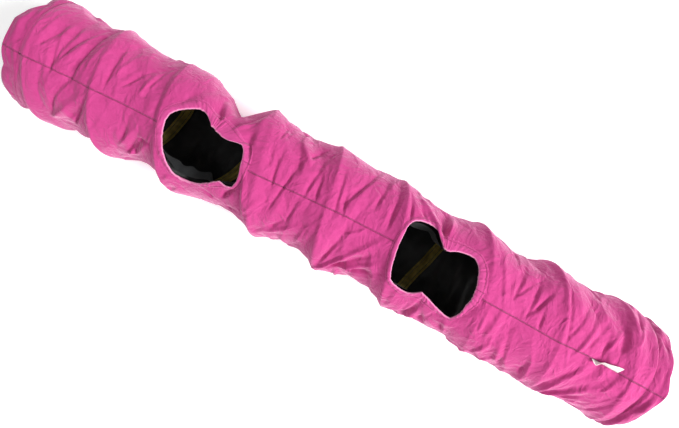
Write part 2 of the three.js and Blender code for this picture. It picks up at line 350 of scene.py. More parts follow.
def to_polar(points):
    """The distance along the tunnel, share of a turn and radius of points."""
    y, z = points[..., 1], points[..., 2] - CENTRE_Z
    return points[..., 0], np.mod(np.arctan2(-y, z) / TAU, 1.0), np.hypot(y, z)


FOLD_SKIRT = 1.35  # how much further a fold's slopes spread than its half width
FOLD_GAIN = 1.3  # how much deeper the folds are made before the cloth settles
STEEP, GENTLE = 0.7, 1.6  # a fold's slope towards the left mouth is the steep one
CREST = 0.0006  # how round a fold's crest is
SCATTER = 230  # how many lesser folds are scattered
MM_PER_DEGREE = 2.27  # round the tunnel's surface


def one_fold(x, arc, fold):
    """Height of one fold at places along the tunnel and round it: a crest that fades at its far end."""
    x0, a0, x1, a1, height, half_width, *bows = fold
    start = np.array([x0, np.radians(a0) * RADIUS * 1000]) / 1000
    chord = np.array([x1, np.radians(a1) * RADIUS * 1000]) / 1000 - start
    length = np.hypot(*chord)
    along, beside = chord / length, np.array([-chord[1], chord[0]]) / length
    dx, da = x - start[0], arc - start[1]
    t = (dx * along[0] + da * along[1]) / length
    off = dx * beside[0] + da * beside[1] - sum(bows) / 1000 * 4 * t * (1 - t)
    taper = np.clip((t + 0.15) / 0.3, 0, 1) * np.clip(1.15 - t, 0, 1) ** 0.7
    width = half_width / 1000 * FOLD_SKIRT * (0.6 + 0.8 * np.clip(t, 0, 1))
    width *= np.where(off * beside[0] * height < 0, STEEP, GENTLE)
    return FOLD_GAIN * height / 1000 * taper * np.clip(1 - np.hypot(off, CREST) / width, 0, 1) ** 1.25


def fold_height(x, v):
    """All the folds together: those listed, and a scatter of lesser ones all round the tunnel."""
    v = v - np.round(v)
    total = sum(one_fold(x, -v * ROUND, fold) for fold in FOLDS)
    rng = np.random.RandomState(17)
    for _ in range(SCATTER):
        x0, a0 = rng.uniform(-680, 680), rng.uniform(-180, 180)
        tilt, reach = rng.normal(0, 0.5), rng.uniform(28, 75)
        height, half_width = rng.choice([-1, 1]) * rng.uniform(1.5, 4.5), rng.uniform(5, 10)
        if abs(a0) < 70:  # the top has its own listed folds
            height *= 0.4
        up = rng.choice([-1, 1])
        x1, a1 = x0 + reach * math.sin(tilt), up * reach * math.cos(tilt) / MM_PER_DEGREE
        arc = -(np.mod(v + a0 / 360 + 0.5, 1) - 0.5) * ROUND
        total += one_fold(x, arc, (x0, 0, x1, a1, height, half_width))
    return total


def facets(x, v, seed, pitch, turns_round):
    """Smooth patches of cloth that meet in creases, from 0 on the creases to about 1."""
    rng = np.random.RandomState(seed)
    total = 0.0
    for _ in range(7):
        along = rng.uniform(0.6, 1.3) / pitch
        about = rng.randint(1, turns_round + 1) * rng.choice([-1, 1])
        bend = 1.2 * np.sin(TAU * (3 * x + 2 * v))
        total += np.sin(TAU * (along * x + about * v) + bend + rng.uniform(0, TAU))
    return np.abs(total) / 2.6


def fall(x, v):
    """How far the cover falls in between the turns of the spring, and the distance to the nearest turn."""
    turn, w, span = bay_place(x, v)
    depth = np.interp(turn, np.arange(len(DIPS)) * 0.25 - 0.25, DIPS) / 1000
    depth = np.minimum(depth, np.maximum(DIP_PER_SPAN * span - DIP_LOSS, 0))
    skewed = w**1.25
    dip = depth * (4 * skewed * (1 - skewed)) ** 0.9 * np.interp(x, TAUT_X, TAUT)
    near = np.minimum(w, 1 - w) * span
    dip *= 1 - np.exp(-((near / WIRE_SOFT) ** 2)) * 0.8
    degrees = -360 * (v - np.round(v))
    hollow = np.interp(x, HOLLOW_X, HOLLOW_DEPTH) / (1 + ((degrees - HOLLOW_DEGREES) / HOLLOW_SPREAD) ** 4)
    return np.maximum(dip, hollow), near


def ridge(x, v):
    """The least radius that the wire allows: a round ridge that falls away to both sides of it."""
    _, w, span = bay_place(x, v)
    fallen = 0.9 * (np.hypot(np.minimum(w, 1 - w) * span, WIRE_SOFT) - WIRE_SOFT)
    return RADIUS - 0.0003 - fallen - narrowing(x, v)


def pull(a, b, rest, wa, wb):
    """How far two arrays of points move for their distance to be rest again, by their freedoms."""
    length = gap(a, b) + 1e-12
    return (b - a) * ((length - rest) / (length * (wa + wb + 1e-9)))


FLOOR_GAP = 0.0009  # how far the outer cloth stays above the floor
STAND_OUT = 0.003  # how far past the wire's turns the cover may stand
SHEAR, BEND, SMOOTH = 0.2, 0.03, 0.006  # how much of the shear, the bending and the roughness goes in a step
SPEED_KEPT = 0.8  # the share of its speed that the cloth keeps in a step
SAG = 1e-6  # how far its weight moves it in a step


def relax(p, slack, free, low, steps):
    """Lets a grid of cloth settle over the spring: stretch, shear, bending, weight and contact."""
    previous = p.copy()
    free, slack = free[..., None], slack[..., None]
    beside = np.roll(p, -1, 1)
    rest_x = gap(p[:-1], p[1:]) * slack[:-1]
    rest_v = gap(p, beside) * slack
    rest_down = gap(p[:-1], beside[1:]) * slack[:-1]
    rest_up = gap(beside[:-1], p[1:]) * slack[:-1]
    rest_x2 = rest_x[:-1] + rest_x[1:]
    rest_v2 = rest_v + np.roll(rest_v, -1, 1)
    for _ in range(steps):
        speed = (p - previous) * SPEED_KEPT
        previous = p.copy()
        p = p + speed * free
        p[..., 2] -= SAG * free[..., 0]
        for _ in range(2):
            for odd in (0, 1):
                n = (len(p) - odd) // 2
                a, b = p[odd::2][:n], p[odd + 1::2][:n]
                wa, wb = free[odd::2][:n], free[odd + 1::2][:n]
                c = pull(a, b, rest_x[odd::2][:n], wa, wb)
                a += c * wa
                b -= c * wb
            for odd in (0, 1):
                a, b = p[:, odd::2], np.roll(p, -1, 1)[:, odd::2]
                wa, wb = free[:, odd::2], np.roll(free, -1, 1)[:, odd::2]
                c = pull(a, b, rest_v[:, odd::2], wa, wb)
                a += c * wa
                p[:, 1 - odd::2] = np.roll(b - c * wb, odd, 1)
        move = np.zeros_like(p)
        beside = np.roll(p, -1, 1)
        diagonals = ((p[:-1], beside[1:], rest_down, 0, 1), (beside[:-1], p[1:], rest_up, 1, 0))
        for a, b, rest, first, last in diagonals:
            c = SHEAR * pull(a, b, rest, 1, 1)
            move[:-1] += np.roll(c, first, 1)
            move[1:] -= np.roll(c, last, 1)
        c = BEND * pull(p[:-2], p[2:], rest_x2, 1, 1)
        move[:-2] += c
        move[2:] -= c
        c = BEND * pull(p, np.roll(p, -2, 1), rest_v2, 1, 1)
        move += c - np.roll(c, 2, 1)
        p = p + move * free * 0.5
        lap = (np.roll(p, 1, 1) + np.roll(p, -1, 1)) / 2 - p
        lap[1:-1] += (p[2:] + p[:-2]) / 2 - p[1:-1]
        p = p + lap * SMOOTH * free
        x, v, r = to_polar(p)
        touched = round_point(x, v, np.clip(r, np.maximum(low, ridge(x, v)), RADIUS + STAND_OUT))
        touched[..., 2] = np.maximum(touched[..., 2], FLOOR_GAP)
        p = np.where(free > 0, touched, p)
    return p


CLOTH_STEPS = 18
FACET_DEPTH = 0.0040  # how deeply the cloth is crumpled
SEAM_GROOVE = 0.0012  # how deep the top seam lies
FREE_START, FREE_REACH = 0.001, 0.010  # from the windows' cut, where the cloth starts to be free to move
CLOTH_SLACK = 0.010  # how much longer the cloth is than its start shape, away from the windows


def settled_cover():
    """Points of the cover after it has settled on its spring: an array over (column, row)."""
    s, j = grid(fine_s)
    v = j + seam_share(s)
    ws, wv = window_warp(s, v - np.round(v))
    d = np.min([polar(number, s, v)[0] for number in range(2)], axis=0)
    free = np.clip((d - WINDOW_CUT_R - FREE_START) / FREE_REACH, 0, 1)
    free[np.abs(s) > SEAM_X - 0.001] = 0
    dip, near = fall(ws, wv)
    between = np.clip(near / 0.03, 0, 1)
    calm = 0.35 + 0.65 * np.clip(0.5 + waves(ws, wv, 9, 0.3, 2), 0, 1)
    crumpled = facets(ws, wv, 31, 0.13, 3) - 0.8 * facets(ws, wv, 32, 0.10, 4)
    r = RADIUS - 0.0006 - dip + fold_height(ws, wv) * np.clip(free + 0.25, 0, 1)
    r += FACET_DEPTH * crumpled * calm * between * free - narrowing(ws, wv)
    r -= SEAM_GROOVE * (np.arange(ROWS) == 0)
    r = np.minimum(r, RADIUS + 0.002)
    r = np.maximum(r, np.where(free > 0, ridge(ws, wv), 0))
    start = round_point(ws + seam_shift(ws, wv), wv, r)
    start[..., 2] = np.maximum(start[..., 2], FLOOR_GAP)
    slack = 1 + CLOTH_SLACK * np.clip((d - WINDOW_CUT_R - 0.03) / 0.04, 0, 1)
    return relax(start, slack, free, r - 0.004, CLOTH_STEPS)


def normals_of(points):
    """Outward unit normals of a grid of points that closes round the tunnel."""
    along = np.gradient(points, axis=0)
    round_ = (np.roll(points, -1, 1) - np.roll(points, 1, 1)) / 2
    n = unit(np.cross(round_, along))
    out = points * [0, 1, 1] - [0, 0, CENTRE_Z]
    return n * np.sign(np.sum(n * out, axis=-1, keepdims=True) + 1e-12)


cover_points = settled_cover()
s_fine, j_fine = grid(fine_s)
v_fine = j_fine + seam_share(s_fine)
x_now, v_now, r_now = to_polar(cover_points)


def least_radius(points, x, v, cell=0.004):
    """A surface's least radius within a cell of each place along and round the tunnel."""
    nx, nv = int(2 * MOUTH_X / cell) + 3, int(ROUND / cell)
    lows = np.full((nx, nv), RADIUS)

    def cells(x, v):
        i = np.clip(((x + MOUTH_X) / cell).astype(int) + 1, 0, nx - 1)
        return i, (np.mod(v, 1) * nv).astype(int) % nv

    point_x, point_v, point_r = to_polar(points)
    np.minimum.at(lows, cells(point_x, point_v), point_r)
    for axis in (0, 1):
        lows = np.minimum(lows, np.minimum(np.roll(lows, 1, axis), np.roll(lows, -1, axis)))
    return lows[cells(x, v)]


class Surface:
    """A grid of points over the flat (s, j), read at any place: j is a share of a turn from the top seam."""

    def __init__(self, points):
        self.points, self.normals = points, normals_of(points)

    def at(self, s, j):
        """The points and unit normals at (s, j)."""
        i = np.interp(s, fine_s, np.arange(len(fine_s)))
        k = row_at(j)
        i0 = np.clip(np.floor(i).astype(int), 0, len(fine_s) - 2)
        k0 = np.floor(k).astype(int) % ROWS
        k1 = (k0 + 1) % ROWS
        ti, tk = (i - i0)[..., None], (k - np.floor(k))[..., None]
        found = []
        for data in (self.points, self.normals):
            a = data[i0, k0] * (1 - ti) + data[i0 + 1, k0] * ti
            b = data[i0, k1] * (1 - ti) + data[i0 + 1, k1] * ti
            found.append(a * (1 - tk) + b * tk)
        return found[0], unit(found[1])


cover_surface = Surface(cover_points)

# ---- Materials ----


class Look:
    """A material made of nodes round one Principled shader."""

    def __init__(self, name, **values):
        self.material = bpy.data.materials.new(name)
        self.material.use_nodes = True
        self.tree = self.material.node_tree
        self.shader = self.tree.nodes["Principled BSDF"]
        for key, value in values.items():
            self.shader.inputs[key.replace("_", " ")].default_value = value

    def node(self, kind, inputs=None, **settings):
        node = self.tree.nodes.new(kind)
        for key, value in settings.items():
            setattr(node, key, value)
        for key, value in (inputs or {}).items():
            socket = node.inputs[key]
            if isinstance(value, bpy.types.NodeSocket):
                self.tree.links.new(value, socket)
            else:
                socket.default_value = value
        return node

    def math(self, operation, a, b=0.0):
        return self.node("ShaderNodeMath", {0: a, 1: b}, operation=operation).outputs[0]

    def held_line(self, value, slope, start):
        """start plus slope times a value, held between 0 and 1."""
        inputs = {0: value, 1: slope, 2: start}
        return self.node("ShaderNodeMath", inputs, operation="MULTIPLY_ADD", use_clamp=True).outputs[0]

    def noise(self, vector, scale, detail=2.0, roughness=0.5, distortion=0.0):
        values = {"Vector": vector, "Scale": scale, "Detail": detail, "Roughness": roughness}
        values["Distortion"] = distortion
        return self.node("ShaderNodeTexNoise", values).outputs["Fac"]

    def ramp(self, value, stops):
        node = self.node("ShaderNodeValToRGB", {"Fac": value})
        elements = node.color_ramp.elements
        for k, (place, colour) in enumerate(stops):
            element = elements[k] if k < 2 else elements.new(place)
            element.position = place
            element.color = (*colour, 1)
        return node.outputs["Color"]

    def bump(self, height, distance, strength=1.0, normal=None):
        inputs = {"Height": height, "Distance": distance, "Strength": strength}
        if normal:
            inputs["Normal"] = normal
        return self.node("ShaderNodeBump", inputs).outputs["Normal"]

    def connect(self, socket, value):
        self.tree.links.new(value, self.shader.inputs[socket])

    def object_coords(self):
        return self.node("ShaderNodeTexCoord").outputs["Object"]

    def flat_coords(self):
        return self.node("ShaderNodeUVMap", uv_map="flat").outputs["UV"]

    def split(self, vector):
        return self.node("ShaderNodeSeparateXYZ", {0: vector}).outputs

    def ribs(self, value, pitch):
        return self.math("SINE", self.math("MULTIPLY", value, TAU / pitch))

    def weave(self, vector, pitch):
        """Height of a plain weave."""
        split = self.split(vector)
        return self.math("MULTIPLY", self.ribs(split["X"], pitch), self.ribs(split["Y"], pitch))

    def mottle(self, socket, scale, detail, stops):
        """Gives a socket of the shader a ramp of values, mixed by noise."""
        self.connect(socket, self.ramp(self.noise(self.object_coords(), scale, detail), stops))


def suede_look(name, light, dark, edge=None):
    """Brushed pink cloth; edge is the paler colour of a painted highlight round a hem's turned edge."""
    look = Look(name, Roughness=0.85, Sheen_Weight=0.50, Sheen_Roughness=0.38,
                Sheen_Tint=(1.0, 0.67, 0.84, 1), Specular_IOR_Level=0.15)
    where, flat = look.object_coords(), look.flat_coords()
    patches = look.noise(where, 60, 6.0, 0.72, 0.3)
    fuzz = look.noise(where, 1100, 3.0, 0.7)
    tone = look.math("ADD", look.math("MULTIPLY", patches, 0.42), look.math("MULTIPLY", fuzz, 0.28))
    split = look.split(flat)
    # painted shade: the tone is darkened along the top seam, where its groove lies in shade
    seam = look.held_line(split["Y"], -600.0, 1.0)  # 1 on the seam, and 0 from 1.7 mm beside it
    tone = look.math("SUBTRACT", tone, look.math("MULTIPLY", seam, 0.36))
    # the darkest colour is reached mostly in the painted shade along the seam
    stops = [(0.02, tuple(0.55 * c for c in dark)), (0.21, dark), (0.49, light)]
    if edge:
        # painted highlight: the tone is raised to the paler edge colour round the hem's turned edge
        painted_edge_highlight = look.held_line(split["X"], -500.0, 0.25)  # 1 round the turned edge
        tone = look.math("ADD", tone, look.math("MULTIPLY", painted_edge_highlight, 0.6))
        stops.append((1.0, edge))
    look.connect("Base Color", look.ramp(tone, stops))
    along = look.node("ShaderNodeMapping", {0: flat, 3: (1.0, 0.62, 1.0)}).outputs[0]
    normal = None
    for scale, depth, strength in ((32, 0.011, 0.70), (80, 0.004, 0.42)):
        crease = look.math("ABSOLUTE", look.math("SUBTRACT", look.noise(along, scale, 3.0, 0.5, 0.8), 0.5))
        normal = look.bump(crease, depth, strength, normal)
    normal = look.bump(look.noise(where, 170, 4.0, 0.6, 0.4), 0.0010, 0.45, normal)
    normal = look.bump(fuzz, 0.0003, 0.5, normal)
    normal = look.bump(look.weave(flat, 0.0009), 0.0001, 0.35, normal)
    look.connect("Normal", normal)
    return look.material


def grey(value):
    return (value, value, value)


def lining_look():
    """Thin black nylon with a slight shine."""
    look = Look("black_nylon", Roughness=0.5, Specular_IOR_Level=0.5, Sheen_Weight=0.05)
    look.mottle("Base Color", 30, 3.0, [(0.3, (0.010, 0.011, 0.012)), (0.7, (0.018, 0.019, 0.02))])
    look.mottle("Roughness", 50, 3.0, [(0.3, grey(0.40)), (0.7, grey(0.56))])
    normal = look.bump(look.noise(look.object_coords(), 70, 4.0, 0.6, 0.4), 0.0015, 0.6)
    normal = look.bump(look.weave(look.flat_coords(), 0.0007), 0.00008, 0.5, normal)
    look.connect("Normal", normal)
    return look.material


def tape_look():
    """Ribbed olive webbing."""
    look = Look("olive_tape", Roughness=0.8, Sheen_Weight=0.15, Specular_IOR_Level=0.3)
    split = look.split(look.flat_coords())
    twill = look.ribs(look.math("ADD", split["X"], split["Y"]), 0.0022)
    height = look.math("ADD", look.ribs(split["Y"], 0.0016), look.math("MULTIPLY", twill, 0.6))
    shade = look.math("ADD", look.math("MULTIPLY", height, 0.12), look.noise(look.object_coords(), 60, 4.0))
    look.connect("Base Color", look.ramp(shade, [(0.25, (0.22, 0.165, 0.034)), (0.75, (0.52, 0.40, 0.095))]))
    look.connect("Normal", look.bump(height, 0.00025, 0.8))
    return look.material


def thread_look(name, colour):
    """Sewing thread."""
    look = Look(name, Roughness=0.6, Sheen_Weight=0.2)
    look.mottle("Base Color", 600, 2.0, [(0.2, tuple(c * 0.7 for c in colour)), (0.8, colour)])
    look.connect("Normal", look.bump(look.noise(look.object_coords(), 2500, 2.0), 0.0002, 0.6))
    return look.material


def label_look():
    """A white woven label."""
    look = Look("woven_label", Roughness=0.7, Sheen_Weight=0.2)
    weave = look.weave(look.flat_coords(), 0.0006)
    tone = look.math("ADD", look.math("MULTIPLY", weave, 0.1), look.noise(look.object_coords(), 150, 3.0))
    look.connect("Base Color", look.ramp(tone, [(0.25, (0.72, 0.62, 0.60)), (0.7, (0.93, 0.88, 0.85))]))
    look.connect("Normal", look.bump(weave, 0.0001, 0.7))
    return look.material


def steel_look():
    """Plain spring steel."""
    look = Look("spring_steel", Metallic=1.0, Roughness=0.35)
    look.mottle("Base Color", 200, 4.0, [(0.3, (0.33, 0.34, 0.35)), (0.7, (0.52, 0.53, 0.54))])
    look.mottle("Roughness", 400, 3.0, [(0.3, grey(0.28)), (0.7, grey(0.45))])
    look.connect("Normal", look.bump(look.noise(look.object_coords(), 1500, 2.0), 0.00005, 0.4))
    return look.material


SUEDE = suede_look("pink_suede", (0.53, 0.057, 0.234), (0.42, 0.036, 0.170))
# painted shade: the cuffs get a darker copy of the pink suede for the shade that falls on them
CUFF_SUEDE_IN_SHADE = suede_look("pink_cuff_painted_shade", (0.46, 0.046, 0.200), (0.36, 0.030, 0.145))
# the hem's last colour is its painted highlight round the turned edge
HEM = suede_look("pink_hem_painted_edge_highlight", (0.58, 0.072, 0.265), (0.45, 0.048, 0.195), (0.70, 0.26, 0.43))
NYLON = lining_look()
TAPE = tape_look()
# the thread's colour is its own dark pink, darkened further as painted shade along the seams it sews
PINK_THREAD_AND_SEAM_SHADE = thread_look("pink_thread_and_seam_shade", (0.27, 0.020, 0.095))
OLIVE_THREAD = thread_look("olive_thread", (0.035, 0.027, 0.008))
LABEL = label_look()
STEEL = steel_look()


def finish_piece(obj, material, end=None):
    """Gives a piece its material and slot, and fixes it to its end, or to the left end with a mesh of its
    own.
    """
    obj.data.materials.append(material)
    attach(obj, end or "left_end")
    if not end:
        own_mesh(obj)


def cut_grid(surface):
    """Points, faces and flat coordinates of a surface between the cuff seams, with the windows cut out."""
    s, j = grid(fine_s[np.abs(fine_s) < SEAM_X + 1e-6])
    faces = quads(len(s), ROWS)
    v = j + seam_share(s)
    keep = np.ones(len(faces), bool)
    s_flat, j_flat = s.ravel().copy(), j.ravel().copy()
    for number in range(2):
        d, angle = polar(number, s_flat, v.ravel())
        inside = d[faces].mean(axis=1) < WINDOW_CUT_R
        rim = np.zeros(len(s_flat), bool)
        rim[faces[inside].ravel()] = True
        kept = np.zeros(len(s_flat), bool)
        kept[faces[~inside & keep].ravel()] = True
        rim &= kept
        s_flat[rim], v_rim = from_window(number, WINDOW_CUT_R, angle[rim])
        j_flat[rim] = v_rim - seam_share(s_flat[rim])
        keep &= ~inside
    faces = faces[keep]
    points, _ = surface.at(s_flat, j_flat)
    used = np.unique(faces)
    renumber = np.full(len(points), -1)
    renumber[used] = np.arange(len(used))
    uv = np.stack([s_flat, j.ravel() * ROUND], axis=-1)
    return points[used], renumber[faces], uv[used]


cover = make_mesh("cover", *cut_grid(cover_surface))
finish_piece(cover, SUEDE)
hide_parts(*[f"cover_bay_{n}" for n in range(1, BAYS + 1)])

# ---- The lining ----

LINING_GAP = 0.0012  # the least way between cover and lining
LINING_SLACK = 0.0030  # how far the lining hangs off the cover between turns, where it is loose
# Where the lining hangs away from the cover behind a window's hem: (window, degrees round it, spread, depth).
LINING_HANGS = [(0, -98, 48, 0.040), (0, -40, 14, 0.018), (1, 124, 34, 0.046), (1, -118, 24, 0.018)]
HANG_REACH = 0.060  # how far from the window's cut it hangs
crumple = waves(s_fine, j_fine, 11, 0.06, 4)
_, w_now, _ = bay_place(x_now, v_now)
lining_r = np.minimum(r_now - 0.0016, RADIUS - 0.0019 - narrowing(x_now, v_now))
lining_r -= LINING_SLACK * np.clip(crumple + 0.4, 0, 2) * 4 * w_now * (1 - w_now)
for number, degrees, spread, depth in LINING_HANGS:
    d, angle = polar(number, s_fine, v_fine)
    turn = np.mod(np.degrees(angle) - degrees + 180, 360) - 180
    out = np.clip((d - WINDOW_CUT_R) / HANG_REACH, 0, 1)
    lining_r -= depth * np.exp(-((turn / spread) ** 2)) * np.sin(np.pi * out**0.6) * (1 + 0.25 * crumple)
for _ in range(4):
    beside = np.roll(lining_r, 1, 1) + np.roll(lining_r, -1, 1)
    lining_r[1:-1] = (lining_r[:-2] + lining_r[2:] + beside[1:-1]) / 4
lining_r = np.minimum(lining_r, r_now - LINING_GAP)
lining_points = round_point(x_now, v_now, lining_r)
lining_points[..., 2] = np.maximum(lining_points[..., 2], 0.0030)
lining = make_mesh("lining", *cut_grid(Surface(lining_points)))
finish_piece(lining, NYLON)
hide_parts(*[f"lining_bay_{n}" for n in range(1, BAYS + 1)])

# ---- The spring wire, its hoops and its tape ----

WIRE_SIDES = 8
WIRE_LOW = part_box("spring_turn_4")[0].z + WIRE_R
LEAD_SHORT = 0.015  # how much of a turn the wire stops short of each end of its path


def wire(name, path, closed=False):
    """A round wire along a path of points."""
    n = len(path)
    tangent = unit(np.roll(path, -1, 0) - np.roll(path, 1, 0) if closed else np.gradient(path, axis=0))
    out = path * [0, 1, 1] - [0, 0, CENTRE_Z]
    out = unit(out - tangent * np.sum(out * tangent, axis=1, keepdims=True))
    side = np.cross(tangent, out)
    a = np.arange(WIRE_SIDES)[:, None] * TAU / WIRE_SIDES
    rings = path[:, None] + WIRE_R * (np.cos(a) * out[:, None] + np.sin(a) * side[:, None])
    faces = quads(n, WIRE_SIDES).tolist()
    if closed:
        faces += last_to_first(n, WIRE_SIDES)
    else:
        first = list(range(WIRE_SIDES))
        faces += [first[::-1], [(n - 1) * WIRE_SIDES + k for k in first]]
    return make_mesh(name, rings, faces)


def wire_points(x, v):
    """Where the middle of the wire is: it lies flat on the floor and narrows with the mouths."""
    path = round_point(x, v, WIRE_PATH_R - narrowing(x, v))
    path[..., 2] = np.maximum(path[..., 2], WIRE_LOW)
    return path


wire_turns = np.linspace(FIRST_TURN + LEAD_SHORT, LAST_TURN - LEAD_SHORT, 1200)
spring = wire("spring_wire", wire_points(spring_x(wire_turns), wire_turns))
finish_piece(spring, STEEL)
leads = ["left_spring_lead", "right_spring_lead"]
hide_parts(*[f"spring_turn_{n}" for n in range(1, BAYS + 1)], *leads)

for side, name in ENDS:
    hoop_v = np.arange(200) / 200
    path = wire_points(side * HOOP_X, hoop_v)
    path[:, 0] -= side * narrowing(side * HOOP_X, hoop_v, END_DRAWN_IN)
    hoop = wire(f"{name}_hoop_wire", path, closed=True)
    finish_piece(hoop, STEEL, f"{name}_end")
    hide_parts(f"{name}_hoop")
    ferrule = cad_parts[f"{name}_ferrule"]
    for material_slot in ferrule.material_slots:
        material_slot.material = STEEL

TAPE_HALF = 0.0125
TAPE_SHORT = 0.14  # how much of a turn the tape stops short of each end of the wire's path
HEM_HOLD = 0.016  # how far a window's hem holds the tape back from the opening's edge
OVER_WIRE_R = 0.0026  # half the width of the tape's ridge over the wire
STITCH_LINE, STITCH_DENT = 0.5, 0.0014  # where across the tape its stitches pull it out, and how far
half_across = [0.0, 0.08, 0.2, 0.36, 0.52, 0.72, 0.93, 1.0]  # columns over half the tape's width
across = np.array([-a for a in half_across[:0:-1]] + half_across)
turns = np.linspace(FIRST_TURN + TAPE_SHORT, LAST_TURN - TAPE_SHORT, 1100)
t2, a2 = np.meshgrid(turns, across, indexing="ij")
tape_x = spring_x(t2) + a2 * TAPE_HALF + 0.0006 * np.sin(t2 * 31)
for number in range(2):  # a hem holds the tape back from its window's edge
    near_v = t2 - np.round(t2)
    d, angle = polar(number, tape_x, t2)
    edge = outline_radius(number, angle) + HEM_HOLD
    pushed = (d < edge) & (np.abs(near_v) < 0.2)
    outward = np.sign(spring_x(t2) - WINDOWS[number])
    reach = np.sqrt(np.maximum(edge**2 - (near_v * ROUND) ** 2, 0))
    held = WINDOWS[number] + outward * np.maximum(reach, np.abs(tape_x - WINDOWS[number]))
    tape_x = np.where(pushed, held, tape_x)
over_wire = (WIRE_R + 0.0006) * np.exp(-((a2 * TAPE_HALF / OVER_WIRE_R) ** 2))
stitched = STITCH_DENT * np.exp(-(((np.abs(a2) - STITCH_LINE) / 0.12) ** 2))
tape_r = WIRE_PATH_R + 0.0002 - 0.0004 * np.sin(t2 * 57 + a2 * 2) + stitched - narrowing(tape_x, t2)
inside = least_radius(lining_points, tape_x, t2) - 0.0012  # the tape lies inside the lining
soft = np.hanning(9) / np.hanning(9).sum()
inside = np.array([np.convolve(np.pad(row, 4, mode="edge"), soft, mode="valid") for row in inside.T]).T
tape_r = np.minimum(tape_r, inside) - over_wire
tape_points = round_point(tape_x, t2, tape_r)
tape_points[..., 2] = np.maximum(tape_points[..., 2], WIRE_LOW + (RADIUS - tape_r - 0.004))
middle = tape_points[:, len(across) // 2]
tape_length = float(gap(middle[:-1], middle[1:]).sum())
uv = np.stack([a2 * TAPE_HALF, (t2 - turns[0]) / (turns[-1] - turns[0]) * tape_length], axis=-1)
tape = make_mesh("spring_tape", tape_points, strip_quads(*t2.shape), uv)
finish_piece(tape, TAPE)
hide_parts(*[f"spring_tape_{n}" for n in range(1, BAYS + 1)])

# ---- Cuffs ----

CUFF_ROWS = 300
CUFF_STEPS = 14  # rings from the seam to the edge, and as many back inside
TURN_STEPS = 8  # how finely the edge is turned
HEM_TURN_R = 0.0030  # half the thickness of the turned edge over its hoop
SEAM_LAP = 0.0008  # how far a cuff reaches over the end of the cover
EDGE_OUT = 0.0045  # how far the mouth's edge stands out between its corners
EDGE_IN, EDGE_BULGE = 0.0025, 0.0038  # how much narrower the edge is at its corners, and its bulge between
GATHER = 0.0046  # how deep the gathers are between seam and edge
INSIDE_GAP = 0.0067  # how far inside the tunnel's radius the turned-in part lies
FERRULE_BULGE, FERRULE_HALF = 0.0032, 0.017  # how far it stands in over the ferrule, and half that length


def cuff(side, name):
    """The end of the cover turned in over its hoop and sewn down: out, round the edge and back inside."""
    j = np.arange(CUFF_ROWS) / CUFF_ROWS
    v = j + seam_share(side * SEAM_X)
    corners = facets(0, j, 50 + side, 0.2, 7)
    seam, _ = cover_surface.at(np.full(CUFF_ROWS, side * SEAM_X), j)
    seam_x, start_r = seam[:, 0], to_polar(seam)[2] - 0.0006
    drawn = narrowing(side * MOUTH_X, v, END_DRAWN_IN)
    edge_x = side * (MOUTH_X - HEM_TURN_R + EDGE_OUT * corners - drawn)
    rings = []
    for step in range(CUFF_STEPS + 1):  # out from the seam
        k = step / CUFF_STEPS
        x = seam_x - side * SEAM_LAP + (edge_x - seam_x + side * SEAM_LAP) * k
        puff = math.sin(math.pi * k) ** 0.6
        gather = waves(k * 0.02, j, 40 + side, 0.06, 4)
        gather += 0.7 * facets(k * 0.03, j, 44 + side, 0.05, 9)
        r = RADIUS - 0.0012 - narrowing(x, v) - (EDGE_IN - EDGE_BULGE * corners) * k
        r = np.maximum(r + (GATHER * gather - 0.0008) * puff, ridge(x, v) - 0.0012)
        joined = np.clip(k / 0.3, 0, 1)
        r = start_r * (1 - joined) + np.minimum(r, RADIUS + 0.0025) * joined
        rings.append(round_point(x, v, r))
    edge_r = r
    for step in range(1, TURN_STEPS):  # round the edge
        a = math.pi * step / TURN_STEPS
        x = edge_x + side * HEM_TURN_R * math.sin(a)
        rings.append(round_point(x, v, edge_r - HEM_TURN_R * 1.15 * (1 - math.cos(a))))
    over_ferrule = FERRULE_BULGE * np.exp(-(((v - 0.5) * ROUND / FERRULE_HALF) ** 4))
    for step in range(CUFF_STEPS + 1):  # back inside
        k = 1 - step / CUFF_STEPS
        x = seam_x + (edge_x - seam_x) * k
        slack = waves(k * 0.03, j, 60 + side, 0.05, 3) * math.sin(math.pi * k)
        r = RADIUS - INSIDE_GAP - narrowing(x, v) - 0.0027 * k - 0.0012 * slack - over_ferrule
        if step > CUFF_STEPS - 3:  # it ends under the seam
            r = np.minimum(r, start_r - 0.0040)
        rings.append(round_point(x, v, r))
    points = np.array(rings)
    points[..., 2] = np.maximum(points[..., 2], FLOOR_GAP)
    length = np.concatenate([[0], np.cumsum(gap(points[:-1], points[1:]).mean(axis=1))])
    uv = np.stack(np.broadcast_arrays(length[:, None], j[None, :] * ROUND), axis=-1)
    obj = make_mesh(f"{name}_cuff_fabric", points, quads(len(rings), CUFF_ROWS)[:, ::side], uv)
    finish_piece(obj, CUFF_SUEDE_IN_SHADE, f"{name}_end")
    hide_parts(f"{name}_cuff")


for side, name in ENDS:
    cuff(side, name)

# ---- Window bindings ----

HEM_ROUND = 420  # points round a window
# The hem's section, as (mm out from the cut, mm up from the cover), round from its outer edge.
HEM_SECTION = [
    (12.5, -0.6), (12.0, 0.5), (10.6, 0.7), (9.4, -0.1), (7.8, 0.9), (4.8, 1.3), (1.5, 1.5), (-1.0, 1.2),
    (-2.1, 0.0), (-2.1, -1.6), (-1.0, -2.8), (2.0, -3.2), (6.5, -3.0), (11.5, -2.6), (12.5, -1.8),
]


def round_window(number, d, angle):
    """The cover's points and normals at a distance and angle from a window's middle on the flat cloth."""
    s, v = from_window(number, d, angle)
    return cover_surface.at(s, v - seam_share(s))


